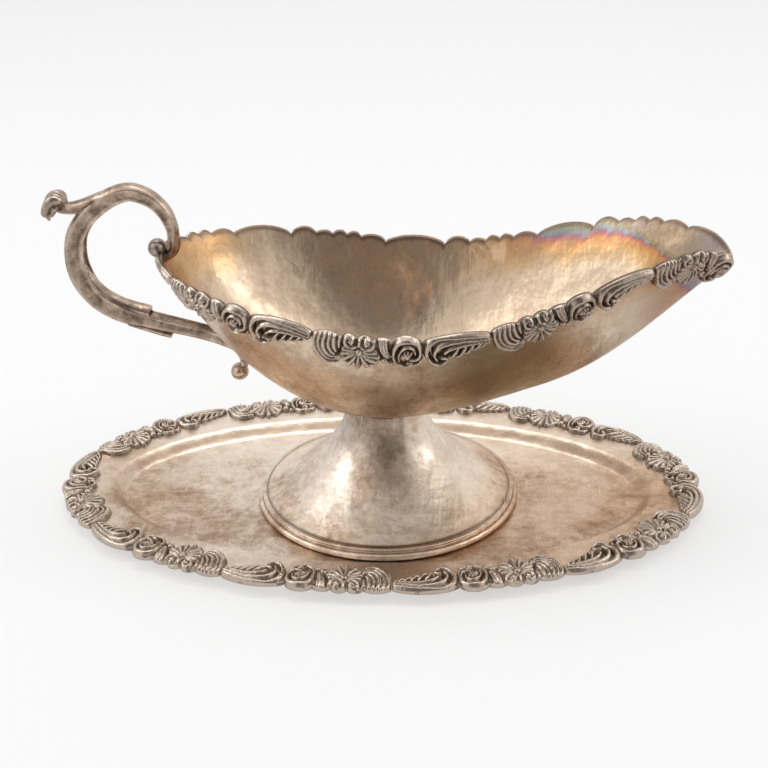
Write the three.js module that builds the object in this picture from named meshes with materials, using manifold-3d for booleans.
// Sauce boat on its oval stand, in silver plate. Millimetres, +Z up.
// The origin is the middle of the stand's underside, where it rests on the table.
// +X points to the pouring lip, the handle is at -X, and -Y is the near side.
import * as THREE from "three";
import { mergeVertices } from "three/addons/utils/BufferGeometryUtils.js";
import Module from "manifold-3d";

const wasm = await Module();
wasm.setup();

// Clearances
const solderGap = 0.3; // between pieces that are soldered together
const seatGap = 0.3; // between the boat's foot and the stand it is lifted from
const seamGap = 0.4; // between one border casting and the next
const castingFit = 0.15; // more room behind a casting, away from its outer edge

// Stand: a sheet tray with a sunk well and a flat rim
const standLength = 236;
const standWidth = 140;
const standSheet = 1.2;
const wellDepth = 3.8;
const rimBandWidth = 16.5; // from the stand's edge to the top of the well's wall
const wellWallWidth = 4; // how far the well's wall slopes inwards
const standCastings = 10;
const standSeamShift = 20; // along the edge, from the +X end to the first seam

// Boat: a raised sheet bowl, open at the top
const bowlSheet = 1.2;
const boatOffset = 3.3; // how far from the stand's centre the boat is stood, towards the lip
const lipReach = 120; // from the foot's axis to the tip of the lip
const handleEndReach = 78.2; // from the foot's axis to the rim at the handle
const bowlHalfWidth = 46.4;
const lipRounding = 0.62; // 0 makes the lip's tip a sharp point
const waistHeight = 85; // the rim at its lowest, above the table
const handleEndHeight = 97;
const lipHeight = 103.5; // the rim at its highest, just behind the lip
const lipRiseLength = 86;
const lipNoseLength = 13; // the last stretch, where the lip turns down
const lipDroop = 7;
const bowlCastings = 8;
const bowlSeamShift = 21; // along the rim, from the handle end to the first seam
const bowlSeatRadius = 12;
const sideCurve = 3; // how steeply the bowl's side rises at its rim: 1 is a cone
const handleEndCurve = 2.2;
const lipCurve = 3.6;
const lipFlattening = 2; // straightens the underside of the lip

// Foot: a spun trumpet with a ring under its edge and a collar at its neck
const footWellRoom = 0.7; // between the foot's ring and the foot of the well's wall
const footRingHeight = 3;
const footRingWidth = 4;
const footSheet = 1;
const footSetBack = 2; // from the ring's outside to the trumpet's edge
const footHeight = 36.5; // from the ring's top to the neck
const neckRadius = 14.6;
const collarHeight = 2;
const collarProud = 1;
const collarWidth = 4.6;
const footRadius = standWidth / 2 - rimBandWidth - wellWallWidth - footWellRoom;

// Border castings, the same pattern on both edges
const castingEdge = 1.5; // thickness at the outer edge
const castingRelief = 2.4; // how far the ornament rises above that
const castingBand = 11.5; // width at the flower
const leafTailBand = 2.5;
const edgeLobe = 3.1; // how far the outline's boldest lobe stands out
const sheetInset = 0.7; // the sheet's edge lies this far inside the castings' edge

// Handle: a cast scroll in the XZ plane
const scrollHeight = 70; // from its top down to the lower volute
const armStandoff = 3.4; // from the bowl's wall out to the middle of the arm's end
const strapDepth = 6.2; // across the strap, in the plane of the scroll
const strapWidth = 7; // across the strap, along Y
const armDepth = 4; // at the lower end
const liningDepth = 3.8; // the leaf laid inside the strap
const crownBack = 11.3; // from the rim at the handle end back to the top of the scroll
const crownRise = 23.7; // and up to it
const thumbLeafHeight = 9.8;
const upperVoluteRadius = 3.3;
const lowerVoluteRadius = 3.4;

// Mesh steps
const standSteps = 10; // for each casting's length of edge
const bowlSteps = 9;
const lipSteps = 18; // for the casting that bends round the lip
const castingSteps = 18;
const latheSteps = 32;
const tableSteps = 1440;

// Levels, worked up from the table
const floorTop = standSheet;
const standRimTop = floorTop + wellDepth;
const ringBottom = floorTop + seatGap;
const ringTop = ringBottom + footRingHeight;
const footBottom = ringTop + solderGap;
const neckTop = footBottom + footHeight;
const collarBottom = neckTop + solderGap;
const collarTop = collarBottom + collarHeight;
const bowlBottom = collarTop + solderGap;

const vector = (x, y, z) => new THREE.Vector3(x, y, z);
const mix = THREE.MathUtils.lerp;
const smoothstep = THREE.MathUtils.smoothstep;

// A value read from a list of [share, value], eased from one entry to the next.
function between(stops, share) {
  const next = Math.max(1, stops.findIndex(([stop]) => stop >= share));
  const [[a, valueA], [b, valueB]] = [stops[next - 1], stops[next]];
  return mix(valueA, valueB, smoothstep(share, a, b));
}

// Solids

// Turns a skin right side out and merges its shared corners.
function closedGeometry(positions, faces) {
  const geometry = new THREE.BufferGeometry();
  geometry.setAttribute("position", new THREE.Float32BufferAttribute(positions, 3));
  geometry.setIndex(faces);
  const corner = (i) => new THREE.Vector3().fromArray(positions, 3 * i);
  let volume = 0;
  for (let i = 0; i < faces.length; i += 3) {
    const [a, b, c] = [faces[i], faces[i + 1], faces[i + 2]].map(corner);
    volume += a.dot(b.cross(c));
  }
  if (volume < 0) geometry.setIndex(faces.slice().reverse());
  return mergeVertices(geometry);
}

// A closed skin over rings of equal size, with a fan over each end.
function loft(rings) {
  const size = rings[0].length;
  const points = rings.flat();
  const faces = [];
  for (let r = 0; r + 1 < rings.length; r++) {
    for (let i = 0; i < size; i++) {
      const a = r * size + i;
      const b = r * size + ((i + 1) % size);
      faces.push(a, b, b + size, a, b + size, a + size);
    }
  }
  for (const first of [0, (rings.length - 1) * size]) {
    const middle = points.length;
    const ring = points.slice(first, first + size);
    points.push(ring.reduce((sum, p) => sum.add(p), vector(0, 0, 0)).divideScalar(size));
    for (let i = 0; i < size; i++) {
      const a = first + i;
      const b = first + ((i + 1) % size);
      faces.push(...(first === 0 ? [b, a, middle] : [a, b, middle]));
    }
  }
  return closedGeometry(points.flatMap((p) => p.toArray()), faces);
}

// A ring turned about Z from a profile of [radius, height] that closes on itself.
function turned(profile) {
  const outline = [...profile, profile[0]].map(([r, z]) => new THREE.Vector2(r, z));
  const geometry = new THREE.LatheGeometry(outline, latheSteps);
  geometry.rotateX(Math.PI / 2);
  geometry.deleteAttribute("normal");
  geometry.deleteAttribute("uv");
  const merged = mergeVertices(geometry, 1e-4);
  return closedGeometry([...merged.attributes.position.array], [...merged.index.array]);
}

function toManifold(geometry) {
  return new wasm.Manifold(
    new wasm.Mesh({
      numProp: 3,
      vertProperties: new Float32Array(geometry.attributes.position.array),
      triVerts: new Uint32Array(geometry.index.array),
    }),
  );
}

function fromManifold(solid) {
  const { vertProperties, triVerts } = solid.getMesh();
  const geometry = new THREE.BufferGeometry();
  geometry.setAttribute("position", new THREE.BufferAttribute(vertProperties, 3));
  geometry.setIndex(new THREE.BufferAttribute(triVerts, 1));
  return geometry;
}

// Edges that castings follow

// A closed curve measured along its length.
function measuredLoop(pointAt) {
  const points = Array.from({ length: tableSteps }, (_, i) => pointAt((2 * Math.PI * i) / tableSteps));
  const lengths = [0];
  for (let i = 0; i < tableSteps; i++) {
    lengths.push(lengths[i] + points[i].distanceTo(points[(i + 1) % tableSteps]));
  }
  const total = lengths[tableSteps];
  const at = (distance) => {
    const d = ((distance % total) + total) % total;
    let low = 0;
    let high = tableSteps;
    while (high - low > 1) {
      const middle = (low + high) >> 1;
      if (lengths[middle] <= d) low = middle;
      else high = middle;
    }
    const share = (d - lengths[low]) / (lengths[low + 1] - lengths[low]);
    return points[low].clone().lerp(points[(low + 1) % tableSteps], share);
  };
  const halfStep = total / tableSteps;
  const tangent = (distance) => at(distance + halfStep).sub(at(distance - halfStep)).normalize();
  return { total, at, tangent };
}

// The stand's edge runs clockwise from its +X end, seen from above.
const standEdge = measuredLoop((t) =>
  vector((standLength / 2) * Math.cos(t), (-standWidth / 2) * Math.sin(t), standRimTop),
);

// A point on the stand, inset from its edge.
function standPoint(distance, inset, height) {
  const along = standEdge.tangent(distance);
  const inwards = vector(along.y, -along.x, 0);
  return standEdge.at(distance).addScaledVector(inwards, inset).setZ(height);
}

const lipCrest = lipReach - lipNoseLength;

// The rim's height over the table, from the handle to the lip.
function rimHeight(x) {
  if (x < 0) return waistHeight + (handleEndHeight - waistHeight) * (-x / handleEndReach) ** 1.1;
  const rise = smoothstep(x, lipCrest - lipRiseLength, lipCrest);
  const nose = Math.max(0, (x - lipCrest) / lipNoseLength);
  return waistHeight + (lipHeight - waistHeight) * rise - lipDroop * nose ** 2;
}

// The rim in plan is half an ellipse at the handle and drawn out to a point at the lip.
function rimPoint(t) {
  const lean = -Math.cos(t);
  const side = -Math.sin(t);
  const x = lean * (lean < 0 ? handleEndReach : lipReach);
  const drawnIn = lean < 0 ? 1 : Math.hypot(side, lipRounding) / Math.hypot(1, lipRounding);
  return vector(x, bowlHalfWidth * side * drawnIn, rimHeight(x));
}

// The boat's rim runs anticlockwise from the handle end.
const bowlEdge = measuredLoop(rimPoint);

// The rim's radius and height in each direction from the axis.
const rimTable = Array.from({ length: tableSteps }, (_, i) => {
  const p = rimPoint((2 * Math.PI * (i + 0.5)) / tableSteps);
  return { angle: Math.atan2(p.y, p.x), radius: Math.hypot(p.x, p.y), height: p.z };
}).sort((a, b) => a.angle - b.angle);

function rimTowards(angle) {
  let low = -1;
  let high = tableSteps;
  while (high - low > 1) {
    const middle = (low + high) >> 1;
    if (rimTable[middle].angle <= angle) low = middle;
    else high = middle;
  }
  const a = rimTable[(low + tableSteps) % tableSteps];
  const b = rimTable[high % tableSteps];
  const span = (b.angle - a.angle + 2 * Math.PI) % (2 * Math.PI);
  const share = ((angle - a.angle + 2 * Math.PI) % (2 * Math.PI)) / span;
  return { radius: mix(a.radius, b.radius, share), height: mix(a.height, b.height, share) };
}

// How far up its side the bowl has risen, from 0 at the seat to 1 at the rim.
function sideRise(share, angle) {
  const along = Math.cos(angle) ** 2;
  const towardsLip = Math.cos(angle) > 0;
  const curve = mix(sideCurve, towardsLip ? lipCurve : handleEndCurve, along);
  return share ** curve * (1 + (towardsLip ? lipFlattening * along * (1 - share) : 0));
}

// Height of the bowl's outside over a point in plan.
function bowlHeight(x, y) {
  const angle = Math.atan2(y, x);
  const rim = rimTowards(angle);
  const share = (Math.hypot(x, y) - bowlSeatRadius) / (rim.radius - bowlSeatRadius);
  const rise = rim.height - bowlBottom;
  return bowlBottom + rise * sideRise(Math.max(0, share), angle);
}

// Outward normal of the bowl's outside over a point in plan.
function bowlNormal(x, y) {
  const d = 0.05;
  const slopeX = (bowlHeight(x + d, y) - bowlHeight(x - d, y)) / (2 * d);
  const slopeY = (bowlHeight(x, y + d) - bowlHeight(x, y - d)) / (2 * d);
  return vector(slopeX, slopeY, -1).normalize();
}

// The surface's normal at the rim, taken just inside the edge.
const rimNormal = (rim) => bowlNormal(0.985 * rim.x, 0.985 * rim.y);

// The direction down the bowl's side from its rim.
function downTheWall(distance) {
  const down = rimNormal(bowlEdge.at(distance)).cross(bowlEdge.tangent(distance)).normalize();
  return down.z > 0 ? down.negate() : down;
}

// A point on the bowl: share 0 is the seat on the foot, 1 is the rim.
function bowlPoint(distance, share, outwards) {
  const rim = bowlEdge.at(distance);
  const angle = Math.atan2(rim.y, rim.x);
  const radius = mix(bowlSeatRadius, Math.hypot(rim.x, rim.y), share);
  const x = radius * Math.cos(angle);
  const y = radius * Math.sin(angle);
  const height = mix(bowlBottom, rim.z, sideRise(share, angle));
  const inside = Math.min(share, 0.985);
  const probe = mix(bowlSeatRadius, Math.hypot(rim.x, rim.y), inside);
  const normal = bowlNormal(probe * Math.cos(angle), probe * Math.sin(angle));
  return vector(x, y, height).addScaledVector(normal, outwards);
}

// Border castings

// Lobes of a casting's outline: start and end as shares of its length, and height.
// They are the scroll with the flower, the bud, the shell, and the long leaf.
const outlineLobes = [
  [0, 0.35, 0.85],
  [0.35, 0.46, 0.7],
  [0.46, 0.61, 1],
  [0.63, 1, 0.95],
];

// How far the outline stands out from the edge, at a share of the casting's length.
function outlineAt(share) {
  const lobe = outlineLobes.find(([start, end]) => share >= start && share <= end);
  if (!lobe) return 0;
  const [start, end, height] = lobe;
  const bulge = Math.max(0, Math.sin((Math.PI * (share - start)) / (end - start)));
  return edgeLobe * height * bulge ** 0.8;
}

// Width of the ornament, from the edge inwards.
const bandStops = [
  [0, 0.6],
  [0.08, 0.95],
  [0.28, 1],
  [0.4, 0.75],
  [0.5, 0.85],
  [0.6, 0.75],
  [0.63, 0.5],
  [0.68, 0.95],
  [0.75, 0.9],
  [0.83, 0.55],
  [0.9, 0.38],
  [1, leafTailBand / castingBand],
];

const bandAt = (share) => castingBand * between(bandStops, share);

// The masses of the ornament: where each stands, along the casting and across it from its
// outer edge, how far it reaches both ways, and its height, all as shares.
const ornamentMasses = [
  { name: "scroll", at: [0.09, 0.5], reach: [0.085, 0.5], height: 0.95 },
  { name: "flower", at: [0.28, 0.45], reach: [0.1, 0.5], height: 1 },
  { name: "bud", at: [0.41, 0.42], reach: [0.045, 0.5], height: 0.85 },
  { name: "shell", at: [0.53, 0.45], reach: [0.08, 0.55], height: 1 },
  { name: "leaf head", at: [0.7, 0.6], reach: [0.06, 0.45], height: 1.1 },
  { name: "leaf", at: [0.79, 0.4], reach: [0.09, 0.45], height: 0.9 },
  { name: "leaf tail", at: [0.93, 0.4], reach: [0.11, 0.5], height: 0.6 },
];
const groundShare = 0.2; // the ornament's ground, as a share of its relief

// Height of the relief over the casting's edge, as a share of castingRelief.
function reliefAt(share, across) {
  const rises = ornamentMasses.map(({ at, reach, height }) => {
    const away = Math.hypot((share - at[0]) / reach[0], (across - at[1]) / reach[1]);
    return height * Math.sqrt(Math.max(0, 1 - away ** 2));
  });
  return Math.max(groundShare * Math.sin(Math.PI * across), ...rises);
}

// Where the rows of a casting's top lie, as shares of the way from its edge to its inside.
const castingRows = [0, 0.14, 0.3, 0.48, 0.66, 0.84, 1];

// A casting that follows an edge from one distance to another.
// place(distance, inset, height) gives a point over the sheet that carries it.
function castingGeometry(from, to, place) {
  const rings = [];
  for (let i = 0; i <= castingSteps; i++) {
    const share = i / castingSteps;
    const distance = mix(from + seamGap / 2, to - seamGap / 2, share);
    const outline = outlineAt(share);
    const band = bandAt(share);
    const point = (across, height) => place(distance, mix(-outline, band, across), solderGap + height);
    const top = castingRows.map((across) => {
      const relief = castingRelief * reliefAt(share, across);
      return point(across, across < 1 ? castingEdge + relief : castingEdge * 0.6);
    });
    rings.push([...top, point(1, castingFit), point(0.5, castingFit), point(0, 0)]);
  }
  return loft(rings);
}

// Pieces

// Rings of the stand's sheet: underside from the middle outwards, then the top back in.
function trayGeometry() {
  const pitch = standEdge.total / standCastings;
  const count = standCastings * standSteps;
  const ring = (inset, height, atEdge = 0) =>
    Array.from({ length: count }, (_, i) => {
      const share = (i % standSteps) / standSteps;
      const distance = standSeamShift + (i * pitch) / standSteps;
      return standPoint(distance, inset + atEdge * (sheetInset - outlineAt(share)), height);
    });
  const wallFoot = rimBandWidth + wellWallWidth;
  const wallMiddle = rimBandWidth + wellWallWidth / 2;
  const middleHeight = floorTop + wellDepth / 3;
  return loft([
    ring(wallFoot - standSheet * 0.3, 0),
    ring(wallMiddle - standSheet * 0.7, middleHeight - standSheet * 0.77),
    ring(rimBandWidth - standSheet / 2, standRimTop - standSheet),
    ring(0, standRimTop - standSheet, 1),
    ring(0, standRimTop, 1),
    ring(rimBandWidth, standRimTop),
    ring(wallMiddle, middleHeight),
    ring(wallFoot, floorTop),
  ]);
}

// The levels of the bowl's mesh, from the seat to the rim.
const bowlShares = [0, 0.2, 0.4, 0.6, 0.78, 0.92, 1];

// Where the bowl's mesh has its corners, counted in castings from the first seam.
// They are closer together round the lip, halfway along the rim.
const bowlStations = Array.from({ length: bowlCastings }, (_, casting) => {
  const fromLip = (0.5 * bowlEdge.total - bowlSeamShift) / (bowlEdge.total / bowlCastings) - casting;
  const steps = fromLip >= 0 && fromLip < 1 ? lipSteps : bowlSteps;
  return Array.from({ length: steps }, (_, i) => casting + i / steps);
}).flat();

const bowlStationDistance = (station) => bowlSeamShift + (station * bowlEdge.total) / bowlCastings;

// A ring of corners on the bowl. share 0 is the seat and 1 the rim.
function bowlRing(share, outwards) {
  return bowlStations.map((station) => bowlPoint(bowlStationDistance(station), share, outwards));
}

// The bowl's sheet: outside from the seat up to the rim, then the inside back down.
// It can be grown all over, as a cutter for what is soldered to it.
function bowlGeometry(grow = 0) {
  const ring = (share, outwards) =>
    bowlRing(share, outwards).map((point, i) => {
      if (share < 1) return point;
      const down = sheetInset - outlineAt(bowlStations[i] % 1) - grow;
      return point.addScaledVector(downTheWall(bowlStationDistance(bowlStations[i])), down);
    });
  return loft([
    ...bowlShares.map((share) => ring(share, grow)),
    ...bowlShares.slice().reverse().map((share) => ring(share, -bowlSheet - grow)),
  ]);
}

// A point on the bowl's border, below the rim by inset and outside the sheet by height.
function bowlBorderPoint(distance, inset, height) {
  const rim = bowlEdge.at(distance);
  const point = rim.clone().addScaledVector(downTheWall(distance), inset);
  if (inset <= 0) return point.addScaledVector(rimNormal(rim), height);
  point.z = bowlHeight(point.x, point.y);
  return point.addScaledVector(rimNormal(point), height);
}

// The trumpet's outside radius, flaring as a parabola from the neck down.
function footRadiusAt(drop) {
  return mix(neckRadius, footRadius - footSetBack, (drop / footHeight) ** 2.08);
}

function footGeometry() {
  const rows = 7;
  const outside = [];
  const inside = [];
  for (let i = 0; i <= rows; i++) {
    const drop = (footHeight * i) / rows;
    const slope = (footRadiusAt(drop + 0.01) - footRadiusAt(drop)) / 0.01;
    const length = Math.hypot(1, slope);
    const level = i === rows ? neckTop - footHeight : neckTop - drop - (footSheet * slope) / length;
    outside.push([footRadiusAt(drop), i === rows ? level + footSheet : neckTop - drop]);
    inside.unshift([footRadiusAt(drop) - (i === rows ? footRingWidth / 2 : footSheet / length), level]);
  }
  return turned([...outside, [outside[rows][0], neckTop - footHeight], ...inside]);
}

// The moulded ring that the foot stands on, with a groove inside its top edge.
function footRingGeometry() {
  const inside = footRadius - footRingWidth;
  const round = 0.5;
  return turned([
    [inside, ringBottom],
    [footRadius - round, ringBottom],
    [footRadius, ringBottom + round],
    [footRadius, ringTop - round],
    [footRadius - round, ringTop],
    [footRadius - footSetBack, ringTop],
    [inside, ringTop - round],
  ]);
}

function collarGeometry() {
  const outside = neckRadius + collarProud;
  const round = 0.5;
  return turned([
    [outside - collarWidth, collarBottom],
    [outside - round, collarBottom],
    [outside, collarBottom + round],
    [outside, collarTop - round],
    [outside - round, collarTop],
    [outside - collarWidth, collarTop],
  ]);
}

// A bar swept in the XZ plane. sizeAt(share) gives its half depth and half width.
function scrollBar(points, steps, sizeAt) {
  const curve = new THREE.CatmullRomCurve3(points.map(([x, z]) => vector(x, 0, z)));
  const ridge = [
    [1, 0],
    [0.55, 0.72],
    [0, 1],
    [-0.6, 0.72],
    [-1, 0],
    [-0.6, -0.72],
    [0, -1],
    [0.55, -0.72],
  ];
  const rings = [];
  for (let i = 0; i <= steps; i++) {
    const share = i / steps;
    const along = curve.getTangentAt(share);
    const outwards = vector(-along.z, 0, along.x);
    const [depth, width] = sizeAt(share);
    const middle = curve.getPointAt(share);
    const place = ([a, b]) => middle.clone().addScaledVector(outwards, a * depth).setY(b * width);
    rings.push(ridge.map(place));
  }
  return toManifold(loft(rings));
}

function ball([x, z], radius, stretch) {
  const geometry = new THREE.SphereGeometry(radius, 12, 8);
  geometry.scale(stretch[0], stretch[1], stretch[2]);
  geometry.translate(x, 0, z);
  geometry.deleteAttribute("normal");
  geometry.deleteAttribute("uv");
  return toManifold(mergeVertices(geometry, 1e-4));
}

// The border casting that crosses the handle end, grown by the solder gap.
function handleEndCutter() {
  const pitch = bowlEdge.total / bowlCastings;
  const grown = (distance, inset, height) => {
    const outwards = inset > castingBand / 3 ? solderGap : -solderGap;
    return bowlBorderPoint(distance, inset + outwards, height + (height > castingEdge ? solderGap : -0.5));
  };
  return toManifold(castingGeometry(bowlSeamShift - pitch, bowlSeamShift, grown));
}

// How far the bowl's wall stands out towards the handle, at a height.
function wallReach(height) {
  const rise = (height - bowlBottom) / (handleEndHeight - bowlBottom);
  return mix(bowlSeatRadius, handleEndReach, rise ** (1 / handleEndCurve));
}

// The handle's lines, as [x, z] from the top of its scroll, drawn for this height of scroll.
const drawnHeight = 70;
const scrollLine = [
  [12, -22.6],
  [14.4, -20.8],
  [15.6, -17.7],
  [15.5, -13.2],
  [13.5, -7.7],
  [9.5, -3.1],
  [4.5, -0.5],
  [0, 0],
  [-5.5, -1.8],
  [-11, -5.4],
  [-16, -10.2],
  [-19.9, -16.7],
  [-21.1, -23.7],
  [-20.5, -30.2],
  [-18.2, -35.9],
  [-14.2, -41.1],
  [-8.5, -45.1],
  [-2.5, -47.7],
  [4.5, -49.5],
  [11.5, -51.1],
  [18.5, -52.7],
  [24.5, -54.3],
  [30.5, -56.4],
  [35, -58.7],
  [37.4, -62.3],
  [37.9, -66.5],
];
const liningLine = [
  [-19.2, -29.5],
  [-16.8, -35.2],
  [-13, -39.9],
  [-7.6, -43.6],
  [-1.8, -46.1],
  [5.3, -47.8],
];
const spurLine = [
  [-6, -1.8],
  [-12.5, -4.2],
  [-17.5, -5.7],
  [-22.5, -6],
  [-26, -5.4],
];
const lugLine = [
  [-3.5, -49.6],
  [4.5, -52],
  [12, -54.3],
];

// The strap's size along the scroll, as shares of its full depth and width.
const strapDepthStops = [
  [0, 0.55],
  [0.12, 0.82],
  [0.24, 0.93],
  [0.46, 1],
  [0.66, 0.97],
  [0.76, armDepth / strapDepth],
  [0.93, armDepth / strapDepth],
  [1, 0.5],
];
const strapWidthStops = [
  [0, 0.72],
  [0.2, 1],
  [0.7, 1],
  [0.82, 0.86],
  [1, 0.66],
];

// The cast handle: a C scroll with a volute at each end, a leaf laid inside it that
// stops in a step, a lug under the arm, and a spur that carries the thumb leaf.
function handleGeometry() {
  const scale = scrollHeight / drawnHeight;
  const crown = [-handleEndReach - crownBack, handleEndHeight + crownRise];
  const [armX, armZ] = scrollLine[scrollLine.length - 2].map((drawn) => drawn * scale);
  // The arm is drawn out or in, so that its end keeps its distance from the bowl's wall.
  const stretch = (-wallReach(crown[1] + armZ) - armStandoff - crown[0]) / armX;
  const place = ([x, z]) => {
    const onArm = x > 0 && z < -drawnHeight / 2;
    return [crown[0] + x * scale * (onArm ? stretch : 1), crown[1] + z * scale];
  };
  const bar = (line, steps, sizeAt) => scrollBar(line.map(place), steps, sizeAt);
  const strap = bar(scrollLine, 44, (share) => [
    (strapDepth / 2) * between(strapDepthStops, share),
    (strapWidth / 2) * between(strapWidthStops, share),
  ]);
  const lining = bar(liningLine, 12, () => [liningDepth / 2, strapWidth * 0.42]);
  const spur = bar(spurLine, 8, (share) => [mix(2, 1.7, share), mix(3.2, 2.3, share)]);
  const lug = bar(lugLine, 4, (share) => [mix(1.4, 0.9, share), mix(2.8, 1.6, share)]);
  const thumb = thumbLeafHeight / 2;
  const balls = [
    ball(place([-26.5, -4.7]), thumb, [0.85, 0.95, 1]),
    ball(place([-29.1, -8.1]), thumb, [0.4, 0.75, 0.64]),
    ball(place([9.3, -21.1]), upperVoluteRadius, [1, 1.15, 1]),
    ball(place([35.9, -69.2]), lowerVoluteRadius, [1, 1.1, 1]),
  ];
  const cast = [lining, spur, lug, ...balls].reduce((sum, solid) => sum.add(solid), strap);
  return fromManifold(cast.subtract(toManifold(bowlGeometry(solderGap))).subtract(handleEndCutter()));
}

// Finishes
const silver = (color, roughness) => new THREE.MeshStandardMaterial({ color, roughness, metalness: 1 });
const tarnishedSheet = silver(0xb39c85, 0.34);
const wornSheet = silver(0xbfab98, 0.38);
const castSilver = silver(0x9b8c7f, 0.42);

function piece(name, geometry, material) {
  const mesh = new THREE.Mesh(geometry, material);
  mesh.name = name;
  return mesh;
}

// Border castings in a row round an edge, numbered from 1.
function borderRow(prefix, count, edge, shift, place) {
  const pitch = edge.total / count;
  return Array.from({ length: count }, (_, i) => {
    const from = shift + i * pitch;
    const number = String(i + 1).padStart(2, "0");
    return piece(`${prefix}_${number}`, castingGeometry(from, from + pitch, place), castSilver);
  });
}

const stand = new THREE.Group();
stand.add(piece("stand_tray", trayGeometry(), wornSheet));
stand.add(
  ...borderRow("stand_border", standCastings, standEdge, standSeamShift, (distance, inset, height) =>
    standPoint(distance, inset, standRimTop + height),
  ),
);

const boat = new THREE.Group();
boat.add(
  piece("foot_ring", footRingGeometry(), wornSheet),
  piece("foot", footGeometry(), wornSheet),
  piece("neck_collar", collarGeometry(), wornSheet),
  piece("bowl", bowlGeometry(), tarnishedSheet),
  piece("handle", handleGeometry(), castSilver),
  ...borderRow("rim_border", bowlCastings, bowlEdge, bowlSeamShift, bowlBorderPoint),
);

boat.position.x = boatOffset;

const sauceBoat = new THREE.Group();
sauceBoat.add(stand, boat);

export default sauceBoat;
